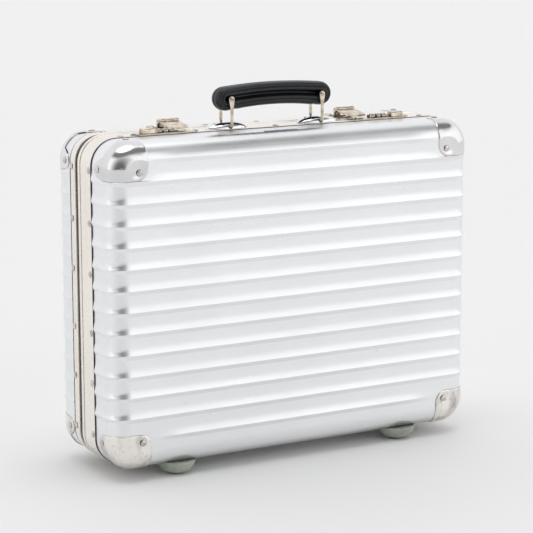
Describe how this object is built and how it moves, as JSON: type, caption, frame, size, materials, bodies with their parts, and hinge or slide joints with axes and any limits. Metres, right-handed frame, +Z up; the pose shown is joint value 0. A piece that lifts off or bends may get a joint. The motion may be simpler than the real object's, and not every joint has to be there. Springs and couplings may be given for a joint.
{
  "type": "aluminum attache case",
  "caption": "Hard-sided attache case of ribbed aluminium with corner caps, two combination locks with flip hasps, and a folding padded carry handle.",
  "frame": {"origin": "on the floor, under the middle of the standing case", "axes": "+X to the case's right seen from the deep half's face, +Y from the deep half to the lid, +Z up to the handle"},
  "size_m": [0.4396, 0.1406, 0.4006],
  "materials": {
    "shell_aluminium": "satin, pressed sheet, faint vertical brushing",
    "frame_metal": "polished extrusion, warm tint, fine scratches",
    "cap_chrome": "polished, scuffed",
    "rivet_metal": "polished dome",
    "lock_nickel": "polished warm nickel",
    "dial_metal": "satin, notched",
    "dome_chrome": "polished",
    "bail_nickel": "polished warm nickel",
    "grip_black": "smooth, slightly worn",
    "foot_rubber": "translucent grey, satin",
    "seal_grey": "satin",
    "lining_cloth": "short-pile cloth",
    "hinge_steel": "satin",
    "badge_metal": "brushed, plain"
  },
  "bodies": {
    "base": {"front_shell": "shell_aluminium", "front_frame": "frame_metal", "front_lining": "lining_cloth", "cap_front_top_left": "cap_chrome", "cap_front_top_right": "cap_chrome", "cap_front_bottom_left": "cap_chrome", "cap_front_bottom_right": "cap_chrome", "front_cap_rivets": "rivet_metal", "front_frame_rivets": "rivet_metal", "foot_front_left": "foot_rubber", "foot_front_right": "foot_rubber", "base_hinge_leaves": "hinge_steel", "base_hinge_rivets": "rivet_metal", "handle_dome_left": "dome_chrome", "handle_dome_right": "dome_chrome", "dome_screws": "lock_nickel", "lock_base_left": "lock_nickel", "lock_base_right": "lock_nickel", "lock_rivets": "lock_nickel", "dial_axle_left": "lock_nickel", "dial_axle_right": "lock_nickel", "badge_plate": "badge_metal"},
    "lid": {"rear_shell": "shell_aluminium", "rear_frame": "frame_metal", "lid_seal": "seal_grey", "rear_lining": "lining_cloth", "cap_rear_top_left": "cap_chrome", "cap_rear_top_right": "cap_chrome", "cap_rear_bottom_left": "cap_chrome", "cap_rear_bottom_right": "cap_chrome", "rear_cap_rivets": "rivet_metal", "rear_frame_rivets": "rivet_metal", "foot_rear_left": "foot_rubber", "foot_rear_right": "foot_rubber", "lid_hinge_leaves": "hinge_steel", "lid_hinge_rivets": "rivet_metal", "hinge_pins": "hinge_steel", "hasp_mount_left": "lock_nickel", "hasp_mount_right": "lock_nickel", "hasp_pin_left": "lock_nickel", "hasp_pin_right": "lock_nickel", "hasp_stud_left": "lock_nickel", "hasp_stud_right": "lock_nickel"},
    "bail_left": {"bail_left": "bail_nickel"},
    "bail_right": {"bail_right": "bail_nickel"},
    "grip": {"handle_grip": "grip_black", "handle_pins": "bail_nickel"},
    "hasp_left": {"hasp_left": "lock_nickel"},
    "hasp_right": {"hasp_right": "lock_nickel"},
    "slider_left": {"release_slider_left": "lock_nickel"},
    "slider_right": {"release_slider_right": "lock_nickel"},
    "dial_left_1": {"dial_left_1": "dial_metal"},
    "dial_left_2": {"dial_left_2": "dial_metal"},
    "dial_left_3": {"dial_left_3": "dial_metal"},
    "dial_right_1": {"dial_right_1": "dial_metal"},
    "dial_right_2": {"dial_right_2": "dial_metal"},
    "dial_right_3": {"dial_right_3": "dial_metal"}
  },
  "joints": [
    {"name": "lid_hinge", "type": "hinge", "parent": "base", "child": "lid", "pos_m": [0, 0.012, 0.0099], "axis": [-1, 0, 0], "range_deg": [0, 100]},
    {"name": "bail_left_pivot", "type": "hinge", "parent": "base", "child": "bail_left", "pos_m": [-0.055, -0.0105, 0.3557], "axis": [0, 1, 0], "range_deg": [-47, 47]},
    {"name": "grip_pivot", "type": "hinge", "parent": "bail_left", "child": "grip", "pos_m": [-0.055, -0.0105, 0.3845], "axis": [0, 1, 0], "range_deg": [-47, 47]},
    {"name": "bail_right_pivot", "type": "hinge", "parent": "base", "child": "bail_right", "pos_m": [0.055, -0.0105, 0.3557], "axis": [0, 1, 0], "range_deg": [-47, 47]},
    {"name": "hasp_left_hinge", "type": "hinge", "parent": "lid", "child": "hasp_left", "pos_m": [-0.11, 0.0175, 0.3615], "axis": [-1, 0, 0], "range_deg": [0, 110]},
    {"name": "hasp_right_hinge", "type": "hinge", "parent": "lid", "child": "hasp_right", "pos_m": [0.107, 0.0175, 0.3615], "axis": [-1, 0, 0], "range_deg": [0, 110]},
    {"name": "slider_left_slide", "type": "slide", "parent": "base", "child": "slider_left", "axis": [-1, 0, 0], "range_m": [0, 0.0025], "stiffness_N_per_m": 200, "springref_m": -0.002},
    {"name": "dial_left_1_spin", "type": "hinge", "parent": "base", "child": "dial_left_1", "pos_m": [-0.1228, -0.0148, 0.3556], "axis": [1, 0, 0], "continuous": true},
    {"name": "dial_left_2_spin", "type": "hinge", "parent": "base", "child": "dial_left_2", "pos_m": [-0.1299, -0.0148, 0.3556], "axis": [1, 0, 0], "continuous": true},
    {"name": "dial_left_3_spin", "type": "hinge", "parent": "base", "child": "dial_left_3", "pos_m": [-0.137, -0.0148, 0.3556], "axis": [1, 0, 0], "continuous": true},
    {"name": "slider_right_slide", "type": "slide", "parent": "base", "child": "slider_right", "axis": [1, 0, 0], "range_m": [0, 0.0025], "stiffness_N_per_m": 200, "springref_m": -0.002},
    {"name": "dial_right_1_spin", "type": "hinge", "parent": "base", "child": "dial_right_1", "pos_m": [0.1228, -0.0148, 0.3556], "axis": [1, 0, 0], "continuous": true},
    {"name": "dial_right_2_spin", "type": "hinge", "parent": "base", "child": "dial_right_2", "pos_m": [0.1299, -0.0148, 0.3556], "axis": [1, 0, 0], "continuous": true},
    {"name": "dial_right_3_spin", "type": "hinge", "parent": "base", "child": "dial_right_3", "pos_m": [0.137, -0.0148, 0.3556], "axis": [1, 0, 0], "continuous": true}
  ],
  "couplings": [
    {"joint": "grip_pivot", "follows": "bail_left_pivot", "ratio": -1},
    {"joint": "bail_right_pivot", "follows": "bail_left_pivot", "ratio": 1}
  ]
}
